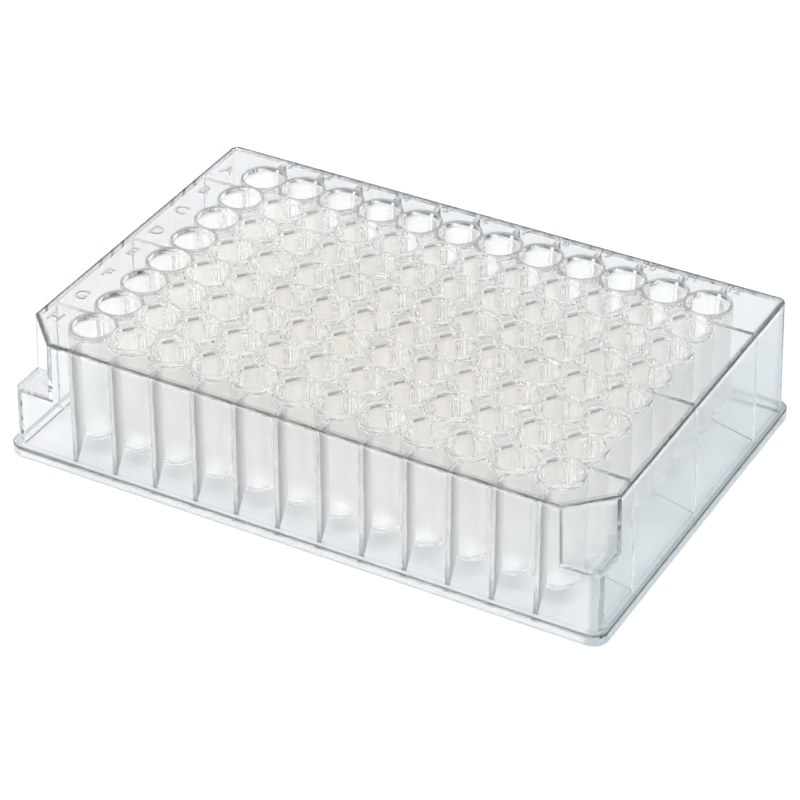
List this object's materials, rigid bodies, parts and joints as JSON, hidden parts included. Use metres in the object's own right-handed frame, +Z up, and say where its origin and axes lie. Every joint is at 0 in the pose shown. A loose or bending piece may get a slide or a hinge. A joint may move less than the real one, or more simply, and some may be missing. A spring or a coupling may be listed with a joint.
{
  "type": "well plate",
  "caption": "Clear one-piece well plate: a lettered deck of round, deep, round-bottomed wells inside a ribbed skirt with a stepped base and two cut front corners.",
  "frame": {"origin": "on the bench, under the middle of the plate's rectangular base", "axes": "+X along a row of wells, from column 1 to column 12; +Y from row H to row A, away from the two cut corners; +Z up"},
  "size_m": [0.1278, 0.0854, 0.0275],
  "materials": {
    "clear_plastic": "gloss, clear, faintly milky in the wells"
  },
  "bodies": {
    "root": {"well_plate": "clear_plastic"}
  },
  "joints": []
}
